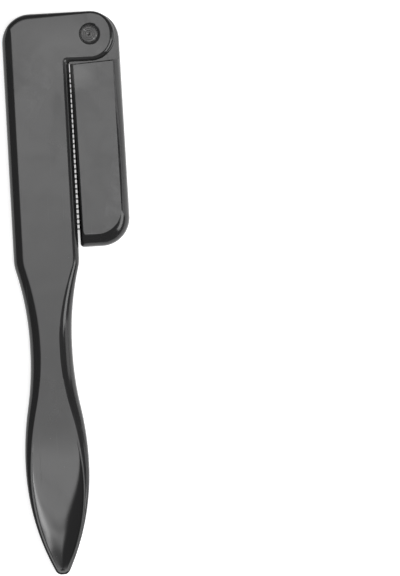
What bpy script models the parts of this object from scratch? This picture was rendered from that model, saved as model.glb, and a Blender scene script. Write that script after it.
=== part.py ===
"""Folding eyebrow comb: a moulded handle whose slotted head takes a swinging arm of steel needles.

The closed comb lies on its back, with its length along Y, its head towards +Y, the swing arm
on the +X side and its front face up. The origin is under the middle of the closed comb.
Outlines are drawn in the handle's own plane: x from the handle's centre line, y from the
top of the head, so the whole handle has negative y. Heights are measured from mid-thickness.
"""

import math

import bmesh
import bpy
from mathutils import Vector

MM = 0.001

# Handle outline
LENGTH = 120.0 * MM
THICKNESS = 6.0 * MM
HEAD_WIDTH = 14.0 * MM
HEAD_LENGTH = 53.6 * MM
HEAD_CORNER_RADIUS = 6.1 * MM
SHOULDER_RADIUS = 10.0 * MM
NECK_LENGTH = 17.4 * MM
WAIST_WIDTH = 8.9 * MM
WAIST_LENGTH = 1.0 * MM
GRIP_WIDTH = 13.5 * MM
GRIP_WIDEST_FROM_TIP = 23.5 * MM
TIP_RADIUS = 1.4 * MM
TIP_FLAT_WIDTH = 0.5 * MM

# Rounded edges of the handle, as widths seen from the front
TOP_EDGE = 0.65 * MM
EAR_SIDE_EDGE = 1.1 * MM
EAR_LOWER_EDGE = 0.92 * MM
EAR_TOP_EDGE = 0.38 * MM
EAR_TOP_FADE_POWER = 1.3
NOTCH_EDGE = 1.25 * MM
HEAD_OUTER_EDGE = 1.9 * MM
HEAD_SLOT_EDGE = 1.3 * MM
WAIST_OUTER_EDGE = 2.1 * MM
WAIST_SLOT_SIDE_EDGE = 2.4 * MM
GRIP_EDGE = 0.45 * MM
SLOT_EDGE_RUN_OUT = 5.0 * MM
GRIP_EDGE_FROM_TIP = 10.0 * MM

# Thumb dish in the front of the grip
DISH_DEPTH = 0.8 * MM
DISH_START_FROM_TIP = 31.0 * MM
DISH_DEEPEST_FROM_TIP = 11.0 * MM
DISH_SPINE_END_FROM_TIP = 3.5 * MM
DISH_RUN_IN_POWER = 1.5
DISH_WALL_POWER = 4.0
RIM_WIDTH = 0.35 * MM
LIP_WIDTH = 0.12 * MM
LIP_DEPTH = 0.12 * MM
LIP_RUN_IN = 14.0 * MM

# Hinge ear on the head and the rivet through it
EAR_RADIUS = 5.3 * MM
PIVOT_DROP = 4.85 * MM
NOTCH_RADIUS = 0.5 * MM
NOTCH_FACE_RADIUS = 0.9 * MM
RIVET_RADIUS = 1.4 * MM
RIVET_HEAD_RADIUS = 2.0 * MM
RIVET_HEAD_THICKNESS = 0.7 * MM
RIVET_HEAD_OFFSET = 0.28 * MM
RIVET_HEAD_CROWN = 0.2 * MM
RIVET_DIMPLE_RADIUS = 0.35 * MM
RIVET_DIMPLE_DEPTH = 0.2 * MM
RIVET_RECESS = 0.1 * MM
COUNTERBORE_GAP = 0.07 * MM

# Swing arm
ARM_GAP = 0.2 * MM
ARM_WIDTH = 10.6 * MM
ARM_PANEL_LENGTH = 39.4 * MM
ARM_OUTER_CORNER_RADIUS = 6.1 * MM
ARM_INNER_CORNER_RADIUS = 0.8 * MM
ARM_INNER_EDGE = 0.6 * MM
ARM_OUTER_EDGE = 1.3 * MM
ARM_END_EDGE = 2.6 * MM
ARM_FACE_CORNER_RADIUS = 5.4 * MM
ARM_CLOSED_ANGLE = math.radians(0.35)
PIVOT_FROM_ARM_EDGE = 4.7 * MM
SHOULDER_CLEARANCE = 0.3 * MM
SHOULDER_CHAMFER = 0.1 * MM
SHOULDER_TILT = math.radians(3.0)
TONGUE_THICKNESS = 2.0 * MM
TONGUE_END_DROP = 1.25 * MM
TONGUE_SIDE_STEP = 1.0 * MM
TONGUE_STEP_RISE = 0.08 * MM

# Needles set in the arm's inner edge
NEEDLE_DIAMETER = 0.4 * MM
NEEDLE_PITCH = 1.077 * MM
NEEDLE_REACH = 7.0 * MM
NEEDLE_ROOT = 3.5 * MM
NEEDLE_POINT_LENGTH = 1.6 * MM
NEEDLE_TIP_DIAMETER = 0.14 * MM
FIRST_NEEDLE_FROM_SHOULDER = 2.1 * MM
LAST_NEEDLE_FROM_ARM_END = 3.9 * MM

# Clearances
FIT_GAP = 0.05 * MM
NEEDLE_BORE_GAP = 0.04 * MM
TONGUE_SIDE_GAP = 0.2 * MM
SWING_GAP = 0.4 * MM
NEEDLE_TIP_GAP = 0.9 * MM
NEEDLE_END_GAP = 0.8 * MM
CUT_MARGIN = 1.0 * MM

# Section of every rounded edge: its surface tilts from nearly upright at the wall to its crease
# with the flat face, on a tight nose arc followed by a broad one
NOSE_TILT = math.radians(85.0)
BROAD_TILT = math.radians(50.0)
CREASE_TILT = math.radians(20.0)
NOSE_TO_BROAD_RADIUS = 0.5
LEAST_WALL = 0.3 * MM

# Facets
NOSE_STEPS = 2
BROAD_STEPS = 3
DISH_COLUMNS = 6
TIP_STEPS = 5
FLANK_STEPS = 11
SWEEP_STEPS = 7
NECK_STEPS = 7
SHOULDER_STEPS = 3
NOTCH_STEPS = 4
EAR_STEPS = 26
CORNER_STEPS = 6
ARM_INNER_CORNER_STEPS = 4
ARM_OUTER_CORNER_STEPS = 14
TONGUE_END_STEPS = 28
ROUND_SIDES = 48
NEEDLE_SIDES = 12
SHARP_EDGE_ANGLE = math.radians(35.0)

# Worked out from the sizes above
HALF = THICKNESS / 2
TIP_Y = -LENGTH
PIVOT_X = HEAD_WIDTH / 2 + ARM_GAP + PIVOT_FROM_ARM_EDGE
PIVOT_Y = -PIVOT_DROP
UNDER_EAR_Y = -2 * EAR_RADIUS
NECK_END_Y = -(HEAD_LENGTH + NECK_LENGTH)
WAIST_END_Y = NECK_END_Y - WAIST_LENGTH
WIDEST_Y = TIP_Y + GRIP_WIDEST_FROM_TIP
SLOT_THICKNESS = TONGUE_THICKNESS + 2 * TONGUE_SIDE_GAP
ARM_LEFT = -PIVOT_FROM_ARM_EDGE
ARM_RIGHT = ARM_LEFT + ARM_WIDTH
TONGUE_LEFT = ARM_LEFT - TONGUE_SIDE_STEP
SHOULDER_Y = UNDER_EAR_Y - PIVOT_Y - SHOULDER_CLEARANCE
SHOULDER_LEFT_Y = SHOULDER_Y / math.cos(SHOULDER_TILT) + ARM_LEFT * math.tan(SHOULDER_TILT)
ARM_END_Y = SHOULDER_Y - ARM_PANEL_LENGTH
FIRST_NEEDLE_Y = SHOULDER_Y - FIRST_NEEDLE_FROM_SHOULDER
NEEDLE_ROW = FIRST_NEEDLE_Y - ARM_END_Y - LAST_NEEDLE_FROM_ARM_END
NEEDLE_COUNT = math.floor(NEEDLE_ROW / NEEDLE_PITCH) + 1
LAST_NEEDLE_Y = FIRST_NEEDLE_Y - (NEEDLE_COUNT - 1) * NEEDLE_PITCH

# The arm's outer end corner reaches furthest to the right when the comb is closed
ARM_CORNER_X = ARM_RIGHT - ARM_OUTER_CORNER_RADIUS
ARM_CORNER_Y = ARM_END_Y + ARM_OUTER_CORNER_RADIUS
ARM_REACH = (ARM_CORNER_X * math.cos(ARM_CLOSED_ANGLE) - ARM_CORNER_Y * math.sin(ARM_CLOSED_ANGLE)
             + ARM_OUTER_CORNER_RADIUS)
CENTRE_X = (PIVOT_X + ARM_REACH - HEAD_WIDTH / 2) / 2

HANDLE_PLACE = Vector((-CENTRE_X, LENGTH / 2, HALF))
PIVOT_PLACE = HANDLE_PLACE + Vector((PIVOT_X, PIVOT_Y, 0.0))


def clear_scene():
    for old in list(bpy.data.objects):
        bpy.data.objects.remove(old, do_unlink=True)


def make_material(name, colour, roughness, metallic):
    material = bpy.data.materials.new(name)
    material.use_nodes = True
    shader = material.node_tree.nodes["Principled BSDF"]
    shader.inputs["Base Color"].default_value = (*colour, 1.0)
    shader.inputs["Roughness"].default_value = roughness
    shader.inputs["Metallic"].default_value = metallic
    material.diffuse_color = (*colour, 1.0)
    return material


def add_object(name, mesh, material=None, parent=None, place=(0.0, 0.0, 0.0)):
    piece = bpy.data.objects.new(name, mesh)
    piece.location = place
    piece.parent = parent
    bpy.context.scene.collection.objects.link(piece)
    if material is not None and not mesh.materials:
        mesh.materials.append(material)
    return piece


def add_empty(name, place, turn):
    empty = bpy.data.objects.new(name, None)
    empty.location = place
    empty.rotation_euler = (0.0, 0.0, turn)
    bpy.context.scene.collection.objects.link(empty)
    return empty


def finish_mesh(name, bm):
    bmesh.ops.recalc_face_normals(bm, faces=bm.faces)
    mesh = bpy.data.meshes.new(name)
    bm.to_mesh(mesh)
    bm.free()
    mesh.shade_smooth()
    mesh.set_sharp_from_angle(angle=SHARP_EDGE_ANGLE)
    return mesh


def cut(piece, cutter):
    cutter.hide_render = True
    cutter.display_type = "WIRE"
    modifier = piece.modifiers.new(cutter.name, "BOOLEAN")
    modifier.operation = "DIFFERENCE"
    modifier.solver = "EXACT"
    modifier.object = cutter


def turned_mesh(name, profile, sides):
    """A solid turned about Z from (radius, height, shift) rows that start and end on the axis.

    The shift moves a ring along X, for a head that sits a little off its shank.
    """
    bm = bmesh.new()
    rings = []
    for radius, height, shift in profile:
        if radius == 0.0:
            rings.append([bm.verts.new((shift, 0.0, height))] * sides)
            continue
        ring = []
        for side in range(sides):
            angle = 2 * math.pi * side / sides
            spot = (radius * math.cos(angle) + shift, radius * math.sin(angle), height)
            ring.append(bm.verts.new(spot))
        rings.append(ring)
    for lower, upper in zip(rings, rings[1:]):
        for side in range(sides):
            after = (side + 1) % sides
            add_face(bm, [lower[side], lower[after], upper[after], upper[side]])
    return finish_mesh(name, bm)


def mirrored(profile):
    """The rows of a turned profile turned over, from its far end to mid-thickness."""
    return [(radius, -height, shift) for radius, height, shift in reversed(profile)]


def add_face(bm, corners):
    """A face through its different corners, which drops a corner that is there twice."""
    bm.faces.new(list(dict.fromkeys(corners)))


def prism_mesh(name, outline, low, high):
    """An outline of (x, y) points stood up between two heights."""
    bm = bmesh.new()
    bottom = [bm.verts.new((x, y, low)) for x, y in outline]
    top = [bm.verts.new((x, y, high)) for x, y in outline]
    bm.faces.new(bottom)
    bm.faces.new(top)
    for index in range(len(outline)):
        after = (index + 1) % len(outline)
        bm.faces.new([bottom[index], bottom[after], top[after], top[index]])
    return finish_mesh(name, bm)


def ease(value):
    """A smooth step from 0 to 1."""
    value = min(max(value, 0.0), 1.0)
    return value * value * (3 - 2 * value)


def arc(centre_x, centre_y, radius, start, end, steps):
    """Stations (x, y, inward x, inward y) on an arc that an anticlockwise outline runs along.

    The arc bulges out of the piece where its angle grows, and into it where the angle falls.
    """
    side = -1.0 if end > start else 1.0
    stations = []
    for step in range(steps + 1):
        angle = math.radians(start + (end - start) * step / steps)
        across = math.cos(angle)
        up = math.sin(angle)
        x = centre_x + radius * across
        y = centre_y + radius * up
        stations.append((x, y, side * across, side * up))
    return stations


def edge_point(station, width):
    """The wall point and the crease point of a rounded edge at one station."""
    x, y, inward_x, inward_y = station
    return (x, y), (x + inward_x * width, y + inward_y * width)


def rounded_edge():
    """The edge's section as (inset, rise) from the wall (0, 0) to the crease (1, 1), and the
    ratio of its rise to its inset."""
    section = [(0.0, 0.0)]
    nose = (NOSE_TO_BROAD_RADIUS, NOSE_TILT, BROAD_TILT, NOSE_STEPS)
    broad = (1.0, BROAD_TILT, CREASE_TILT, BROAD_STEPS)
    for radius, start, end, steps in (nose, broad):
        inset, rise = section[-1]
        for step in range(1, steps + 1):
            tilt = start + (end - start) * step / steps
            section.append((inset + radius * (math.sin(start) - math.sin(tilt)),
                            rise + radius * (math.cos(tilt) - math.cos(start))))
    full_inset, full_rise = section[-1]
    scaled = [(inset / full_inset, rise / full_rise) for inset, rise in section]
    return scaled, full_rise / full_inset


def edge_rings(bm, outer, face):
    """Rings of vertices from back face to front face, one at each station of the two outlines."""
    section, steepness = rounded_edge()
    rings = []
    for wall_point, face_point in zip(outer, face):
        inward = Vector(face_point) - Vector(wall_point)
        drop = min(inward.length * steepness, HALF - LEAST_WALL)
        front = []
        for inset, rise in section:
            spot = Vector(wall_point) + inward * inset
            front.append((spot.x, spot.y, HALF - drop + rise * drop))
        back = [(x, y, -height) for x, y, height in reversed(front)]
        rings.append([bm.verts.new(spot) for spot in back + front])
    for index, ring in enumerate(rings):
        after = rings[(index + 1) % len(rings)]
        for low in range(len(ring) - 1):
            bm.faces.new([ring[low], after[low], after[low + 1], ring[low + 1]])
    return rings


# Handle

def side_outline():
    """Right-hand side of the handle from the middle of the tip up to the straight side of the head.

    Returns the stations, and how many of them belong to the dished grip.
    """
    half_grip = GRIP_WIDTH / 2
    half_waist = WAIST_WIDTH / 2
    half_head = HEAD_WIDTH / 2
    tip_x = TIP_FLAT_WIDTH / 2
    tip_y = TIP_Y + TIP_RADIUS

    # Flank of the grip: one arc from its widest place to where it runs into the tip's corner
    run = GRIP_WIDEST_FROM_TIP
    side = half_grip - tip_x
    flank_radius = (run ** 2 + side ** 2 - 2 * run * TIP_RADIUS) / (2 * (side - TIP_RADIUS))
    flank_x = half_grip - flank_radius
    flank_angle = math.degrees(math.atan2(tip_y - WIDEST_Y, tip_x - flank_x))
    stations = [(0.0, TIP_Y, 0.0, 1.0)]
    stations += arc(tip_x, tip_y, TIP_RADIUS, -90.0, flank_angle, TIP_STEPS)
    stations += arc(flank_x, WIDEST_Y, flank_radius, flank_angle, 0.0, FLANK_STEPS)[1:]

    # From the grip up to the waist: an outward and an inward arc of the same radius
    rise = half_grip - half_waist
    run = WAIST_END_Y - WIDEST_Y
    sweep_radius = (run ** 2 + rise ** 2) / (4 * rise)
    sweep_angle = math.degrees(math.asin(run / (2 * sweep_radius)))
    grip_x = half_grip - sweep_radius
    stations += arc(grip_x, WIDEST_Y, sweep_radius, 0.0, sweep_angle, SWEEP_STEPS)[1:]
    grip_count = len(stations)
    waist_x = half_waist + sweep_radius
    waist_angle = 180.0 + sweep_angle
    stations += arc(waist_x, WAIST_END_Y, sweep_radius, waist_angle, 180.0, SWEEP_STEPS)[1:]

    # From the waist to the head: an inward arc, met by a small outward one at the shoulder
    rise = half_head - half_waist
    neck_radius = (NECK_LENGTH ** 2 + rise ** 2) / (2 * rise)
    neck_x = half_waist + neck_radius
    shoulder_x = half_head - SHOULDER_RADIUS
    across = neck_x - shoulder_x
    up = math.sqrt((neck_radius + SHOULDER_RADIUS) ** 2 - across ** 2)
    shoulder_angle = math.degrees(math.atan2(up, across))
    neck_end_angle = 180.0 - shoulder_angle
    stations += arc(neck_x, NECK_END_Y, neck_radius, 180.0, neck_end_angle, NECK_STEPS)
    shoulder_y = NECK_END_Y + up
    stations += arc(shoulder_x, shoulder_y, SHOULDER_RADIUS, -shoulder_angle, 0.0, SHOULDER_STEPS)[1:]
    return stations, grip_count


def side_edge_width(y, head_edge, waist_edge):
    """Width of the rounded edge along one side: from head to waist, then fading to the grip."""
    neck = ease((y + HEAD_LENGTH) / -NECK_LENGTH)
    grip = ease((y - WAIST_END_Y) / (TIP_Y + GRIP_EDGE_FROM_TIP - WAIST_END_Y))
    return head_edge + (waist_edge - head_edge) * neck + (GRIP_EDGE - waist_edge) * grip


def corner_edge_width(inward_x):
    """Edge round the head's free corner: the side's wide edge keeps its straight crease up to
    where the narrow top edge takes over, so that the two meet in a mitre."""
    straight_crease = HEAD_CORNER_RADIUS
    if inward_x > 0.0:
        straight_crease = (HEAD_CORNER_RADIUS - HEAD_OUTER_EDGE) / inward_x
    return max(TOP_EDGE, HEAD_CORNER_RADIUS - straight_crease)


def ear_edge_width(inward_y):
    """Width of the rounded edge round the ear, from its underside over its side to its top."""
    if inward_y > 0.0:
        return EAR_SIDE_EDGE + (EAR_LOWER_EDGE - EAR_SIDE_EDGE) * inward_y ** 2
    fade = abs(inward_y) ** EAR_TOP_FADE_POWER
    return EAR_SIDE_EDGE + (EAR_TOP_EDGE - EAR_SIDE_EDGE) * fade


def notch_points():
    """Edge points of the notch between head and ear. Wall and crease each turn on an arc of
    their own, so the rounded edge is widest on the diagonal."""
    half_head = HEAD_WIDTH / 2
    wall_x = half_head + NOTCH_RADIUS
    wall_y = UNDER_EAR_Y - NOTCH_RADIUS
    wall = arc(wall_x, wall_y, NOTCH_RADIUS, 180.0, 90.0, NOTCH_STEPS)
    crease_x = half_head - NOTCH_EDGE + NOTCH_FACE_RADIUS
    crease_y = UNDER_EAR_Y + EAR_LOWER_EDGE - NOTCH_FACE_RADIUS
    crease = arc(crease_x, crease_y, NOTCH_FACE_RADIUS, 180.0, 90.0, NOTCH_STEPS)
    return [(outer[:2], inner[:2]) for outer, inner in zip(wall, crease)]


def head_corner():
    """Stations round the head's free corner, with one of them on the mitre of its edges."""
    centre_x = HEAD_CORNER_RADIUS - HEAD_WIDTH / 2
    centre_y = -HEAD_CORNER_RADIUS
    straight_crease = HEAD_CORNER_RADIUS - HEAD_OUTER_EDGE
    turn = math.degrees(math.acos(straight_crease / (HEAD_CORNER_RADIUS - TOP_EDGE)))
    mitre = 180.0 - turn
    corner = arc(centre_x, centre_y, HEAD_CORNER_RADIUS, 90.0, mitre, CORNER_STEPS)
    corner += arc(centre_x, centre_y, HEAD_CORNER_RADIUS, mitre, 180.0, CORNER_STEPS)[1:]
    return corner


def handle_outlines():
    """Outer outline and crease outline of the handle, and the number of stations of the grip."""
    side, grip_count = side_outline()
    points = []
    for station in side:
        width = side_edge_width(station[1], HEAD_SLOT_EDGE, WAIST_SLOT_SIDE_EDGE)
        points.append(edge_point(station, width))

    run_out_y = UNDER_EAR_Y - NOTCH_RADIUS - SLOT_EDGE_RUN_OUT
    points.append(edge_point((HEAD_WIDTH / 2, run_out_y, -1.0, 0.0), HEAD_SLOT_EDGE))
    points += notch_points()
    for station in arc(PIVOT_X, -EAR_RADIUS, EAR_RADIUS, -90.0, 90.0, EAR_STEPS):
        points.append(edge_point(station, ear_edge_width(station[3])))
    for station in head_corner():
        points.append(edge_point(station, corner_edge_width(station[2])))

    for x, y, inward_x, inward_y in reversed(side[1:]):
        width = side_edge_width(y, HEAD_OUTER_EDGE, WAIST_OUTER_EDGE)
        points.append(edge_point((-x, y, -inward_x, inward_y), width))

    outer = [wall for wall, _ in points]
    face = [crease for _, crease in points]
    return outer, face, grip_count


def spine_depth(y):
    """Depth of the thumb dish along the handle's centre line."""
    from_tip = y - TIP_Y
    if from_tip > DISH_DEEPEST_FROM_TIP:
        run_in = DISH_START_FROM_TIP - DISH_DEEPEST_FROM_TIP
        return DISH_DEPTH * ease((DISH_START_FROM_TIP - from_tip) / run_in) ** DISH_RUN_IN_POWER
    rim = GRIP_EDGE + RIM_WIDTH + LIP_WIDTH
    run_out = (DISH_DEEPEST_FROM_TIP - from_tip) / (DISH_DEEPEST_FROM_TIP - rim)
    return DISH_DEPTH * (1 - run_out ** 2)


def dish_column(bm, edge_vertex, spine_vertex):
    """Vertices from the front face's edge over rim, lip and dish to the dish's spine."""
    edge = edge_vertex.co.xy
    spine = spine_vertex.co.xy
    length = (spine - edge).length
    along = (spine - edge) / length
    deepest = HALF - spine_vertex.co.z
    lip = min(LIP_DEPTH * ease((DISH_START_FROM_TIP - (edge.y - TIP_Y)) / LIP_RUN_IN), deepest)
    column = [edge_vertex]
    rim = edge + along * RIM_WIDTH
    column.append(bm.verts.new((rim.x, rim.y, HALF)))
    foot_at = RIM_WIDTH + LIP_WIDTH
    for step in range(DISH_COLUMNS):
        share = step / DISH_COLUMNS
        spot = edge + along * (foot_at + (length - foot_at) * share)
        depth = lip + (deepest - lip) * (1 - (1 - share) ** DISH_WALL_POWER)
        column.append(bm.verts.new((spot.x, spot.y, HALF - depth)))
    column.append(spine_vertex)
    return column


def dished_front(bm, rings, grip_count):
    """Front face of the handle: a flat sheet over head and waist, and the thumb dish in the grip."""
    edge = [ring[-1] for ring in rings]
    right = edge[:grip_count]
    left = [edge[0]] + edge[:-grip_count:-1]
    spine_end = TIP_Y + DISH_SPINE_END_FROM_TIP
    end_vertex = bm.verts.new((0.0, spine_end, HALF - spine_depth(spine_end)))
    right_columns = [dish_column(bm, right[0], end_vertex)]
    left_columns = [right_columns[0]]
    for right_edge, left_edge in zip(right[1:], left[1:]):
        y = (right_edge.co.y + left_edge.co.y) / 2
        spine_vertex = end_vertex
        if y > spine_end:
            spine_vertex = bm.verts.new((0.0, y, HALF - spine_depth(y)))
        right_columns.append(dish_column(bm, right_edge, spine_vertex))
        left_columns.append(dish_column(bm, left_edge, spine_vertex))
    for columns in (right_columns, left_columns):
        for lower, upper in zip(columns, columns[1:]):
            for place in range(len(lower) - 1):
                add_face(bm, [lower[place], upper[place], upper[place + 1], lower[place + 1]])

    # A strip of triangles joins the dish's first row to the flat sheet
    above_right = edge[grip_count]
    above_left = edge[-grip_count]
    for columns, above in ((right_columns, above_right), (left_columns, above_left)):
        first_row = columns[-1]
        for place in range(len(first_row) - 1):
            bm.faces.new([above, first_row[place + 1], first_row[place]])
    bm.faces.new([above_right, above_left, right_columns[-1][-1]])
    bm.faces.new(edge[grip_count:len(edge) - grip_count + 1])


def handle_mesh():
    bm = bmesh.new()
    outer, face, grip_count = handle_outlines()
    rings = edge_rings(bm, outer, face)
    bm.faces.new([ring[0] for ring in rings])
    dished_front(bm, rings, grip_count)
    return finish_mesh("handle", bm)


def slot_outline():
    """Slot through the head's middle layer: open round the ear for the tongue, and deep enough
    beside the arm to swallow the needles, also where their tips swing lower as the arm opens."""
    tongue_reach = ARM_RIGHT + SWING_GAP
    tongue_x = PIVOT_X - tongue_reach
    floor_x = PIVOT_X + ARM_LEFT - NEEDLE_REACH - NEEDLE_TIP_GAP
    pocket_top = PIVOT_Y + FIRST_NEEDLE_Y + NEEDLE_DIAMETER / 2 + NEEDLE_END_GAP
    tip_swing = math.hypot(ARM_LEFT - NEEDLE_REACH, LAST_NEEDLE_Y)
    lowest_tip = PIVOT_Y - math.sqrt(tip_swing ** 2 - (ARM_LEFT - ARM_GAP) ** 2)
    pocket_end = lowest_tip - NEEDLE_DIAMETER / 2 - NEEDLE_END_GAP
    outside_x = PIVOT_X + EAR_RADIUS + CUT_MARGIN
    above = CUT_MARGIN
    return [(tongue_x, above), (tongue_x, pocket_top), (floor_x, pocket_top),
            (floor_x, pocket_end), (outside_x, pocket_end), (outside_x, above)]


def rivet_seat_mesh():
    """Cutter for the bore through both cheeks, with a counterbore for each rivet head."""
    bore = RIVET_RADIUS + FIT_GAP
    counterbore = RIVET_HEAD_RADIUS + RIVET_HEAD_OFFSET + COUNTERBORE_GAP
    floor = HALF - RIVET_RECESS - RIVET_HEAD_THICKNESS - FIT_GAP
    end = HALF + CUT_MARGIN
    half = [(bore, floor, 0.0), (counterbore, floor, 0.0), (counterbore, end, 0.0), (0.0, end, 0.0)]
    return turned_mesh("rivet_seat", mirrored(half) + half, ROUND_SIDES)


def make_handle(plastic):
    handle = add_object("handle", handle_mesh(), plastic, place=HANDLE_PLACE)
    slot = prism_mesh("head_slot", slot_outline(), -SLOT_THICKNESS / 2, SLOT_THICKNESS / 2)
    cut(handle, add_object("head_slot", slot, place=HANDLE_PLACE))
    cut(handle, add_object("rivet_seat", rivet_seat_mesh(), place=PIVOT_PLACE))
    return handle


# Rivet

def rivet_mesh():
    """Rivet with a flat head set in each cheek; the front head has a centre dimple and sits a
    little off the shank, towards the head of the handle."""
    head_top = HALF - RIVET_RECESS
    head_under = head_top - RIVET_HEAD_THICKNESS
    crown = RIVET_HEAD_CROWN
    shank = [(RIVET_RADIUS, head_under, 0.0)]
    rim = [(RIVET_HEAD_RADIUS, head_under), (RIVET_HEAD_RADIUS, head_top - crown),
           (RIVET_HEAD_RADIUS - crown, head_top)]
    dimple = [(RIVET_DIMPLE_RADIUS, head_top), (0.0, head_top - RIVET_DIMPLE_DEPTH)]
    front = [(radius, height, -RIVET_HEAD_OFFSET) for radius, height in rim + dimple]
    back = [(radius, height, 0.0) for radius, height in rim + [(0.0, head_top)]]
    return turned_mesh("pivot_rivet", mirrored(shank + back) + shank + front, ROUND_SIDES)


# Swing arm

def arm_outline(left, right, end, inner_radius, outer_radius, tongue_left):
    """Outline of the arm in its own plane, anticlockwise from the lower corner by the needles to
    the full round that ends the tongue, and down to the step where tongue and panel meet."""
    inner_x = left + inner_radius
    inner_y = end + inner_radius
    stations = arc(inner_x, inner_y, inner_radius, 180.0, 270.0, ARM_INNER_CORNER_STEPS)
    outer_x = right - outer_radius
    outer_y = end + outer_radius
    stations += arc(outer_x, outer_y, outer_radius, 270.0, 360.0, ARM_OUTER_CORNER_STEPS)
    middle = (tongue_left + right) / 2
    tongue_radius = (right - tongue_left) / 2
    stations += arc(middle, -TONGUE_END_DROP, tongue_radius, 0.0, 180.0, TONGUE_END_STEPS)
    step_y = SHOULDER_LEFT_Y + TONGUE_STEP_RISE
    return [(x, y) for x, y, _, _ in stations] + [(tongue_left, step_y), (left, step_y)]


def arm_mesh():
    bm = bmesh.new()
    outer = arm_outline(ARM_LEFT, ARM_RIGHT, ARM_END_Y,
                        ARM_INNER_CORNER_RADIUS, ARM_OUTER_CORNER_RADIUS, TONGUE_LEFT)
    face = arm_outline(ARM_LEFT + ARM_INNER_EDGE, ARM_RIGHT - ARM_OUTER_EDGE,
                       ARM_END_Y + ARM_END_EDGE, ARM_INNER_EDGE, ARM_FACE_CORNER_RADIUS,
                       TONGUE_LEFT + ARM_INNER_EDGE)
    rings = edge_rings(bm, outer, face)
    bm.faces.new([ring[0] for ring in rings])
    bm.faces.new([ring[-1] for ring in rings])
    return finish_mesh("comb_arm", bm)


def tongue_relief_mesh():
    """Cutter that thins the arm above its shoulder, front and back, to the tongue in the slot."""
    bm = bmesh.new()
    low_x = TONGUE_LEFT - CUT_MARGIN
    high_x = ARM_RIGHT + CUT_MARGIN
    top_y = ARM_WIDTH + CUT_MARGIN
    clear = HALF + CUT_MARGIN
    flare = SHOULDER_CHAMFER + CUT_MARGIN
    section = [(top_y, TONGUE_THICKNESS / 2), (SHOULDER_Y, TONGUE_THICKNESS / 2),
               (SHOULDER_Y, HALF - SHOULDER_CHAMFER), (SHOULDER_Y - flare, clear), (top_y, clear)]
    for side in (-1.0, 1.0):
        near = [bm.verts.new((low_x, y, side * z)) for y, z in section]
        far = [bm.verts.new((high_x, y, side * z)) for y, z in section]
        bm.faces.new(near)
        bm.faces.new(far)
        for index in range(len(section)):
            after = (index + 1) % len(section)
            bm.faces.new([near[index], near[after], far[after], far[index]])
    return finish_mesh("tongue_relief", bm)


def needle_heights():
    return [FIRST_NEEDLE_Y - index * NEEDLE_PITCH for index in range(NEEDLE_COUNT)]


def needle_bores_mesh():
    """Cutters for the blind bores that the needles' roots are moulded into."""
    bm = bmesh.new()
    radius = NEEDLE_DIAMETER / 2 + NEEDLE_BORE_GAP
    mouth = ARM_LEFT - CUT_MARGIN
    floor = ARM_LEFT + NEEDLE_ROOT + NEEDLE_BORE_GAP
    for height in needle_heights():
        rings = []
        for x in (mouth, floor):
            ring = []
            for side in range(NEEDLE_SIDES):
                angle = 2 * math.pi * side / NEEDLE_SIDES
                y = height + radius * math.cos(angle)
                ring.append(bm.verts.new((x, y, radius * math.sin(angle))))
            rings.append(ring)
        bm.faces.new(rings[0])
        bm.faces.new(rings[1])
        for side in range(NEEDLE_SIDES):
            after = (side + 1) % NEEDLE_SIDES
            bm.faces.new([rings[0][side], rings[0][after], rings[1][after], rings[1][side]])
    return finish_mesh("needle_bores", bm)


def make_arm(plastic, hinge):
    arm = add_object("comb_arm", arm_mesh(), plastic, parent=hinge)
    relief = add_object("tongue_relief", tongue_relief_mesh(), parent=hinge)
    relief.rotation_euler = (0.0, 0.0, SHOULDER_TILT)
    cut(arm, relief)
    half = [(RIVET_RADIUS + FIT_GAP, HALF, 0.0), (0.0, HALF, 0.0)]
    pivot_bore = turned_mesh("pivot_bore", mirrored(half) + half, ROUND_SIDES)
    cut(arm, add_object("pivot_bore", pivot_bore, parent=hinge))
    cut(arm, add_object("needle_bores", needle_bores_mesh(), parent=hinge))
    return arm


# Needles

def needle_mesh():
    """One needle along Z from its root, with a ground point that ends in a small blunt tip."""
    length = NEEDLE_ROOT + NEEDLE_REACH
    shaft = NEEDLE_DIAMETER / 2
    tip = NEEDLE_TIP_DIAMETER / 2
    point = length - NEEDLE_POINT_LENGTH
    profile = [(0.0, 0.0, 0.0), (shaft, 0.0, 0.0), (shaft, point, 0.0), (tip, length - tip, 0.0),
               (0.0, length, 0.0)]
    return turned_mesh("needle", profile, NEEDLE_SIDES)


def make_needles(steel, hinge):
    mesh = needle_mesh()
    for number, height in enumerate(needle_heights(), start=1):
        place = (ARM_LEFT + NEEDLE_ROOT, height, 0.0)
        needle = add_object(f"needle_{number:02d}", mesh, steel, parent=hinge, place=place)
        needle.rotation_euler = (0.0, -math.pi / 2, 0.0)


def build():
    clear_scene()
    black_plastic = make_material("gloss_black_plastic", (0.018, 0.018, 0.019), 0.12, 0.0)
    blackened_steel = make_material("blackened_steel", (0.10, 0.10, 0.10), 0.3, 0.6)
    bright_steel = make_material("bright_steel", (0.62, 0.62, 0.61), 0.25, 1.0)
    make_handle(black_plastic)
    add_object("pivot_rivet", rivet_mesh(), blackened_steel, place=PIVOT_PLACE)
    hinge = add_empty("comb_hinge", PIVOT_PLACE, ARM_CLOSED_ANGLE)
    make_arm(black_plastic, hinge)
    make_needles(bright_steel, hinge)


build()
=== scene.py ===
"""Looks of a folding eyebrow comb, lying closed on its back with its head towards +Y.

Outlines are drawn in the handle's own plane: x from the handle's centre line, y down from the top
of the head, z from mid-thickness. Lengths are in metres.
"""

import math

import bmesh
import bpy
from mathutils import Matrix, Vector


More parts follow.
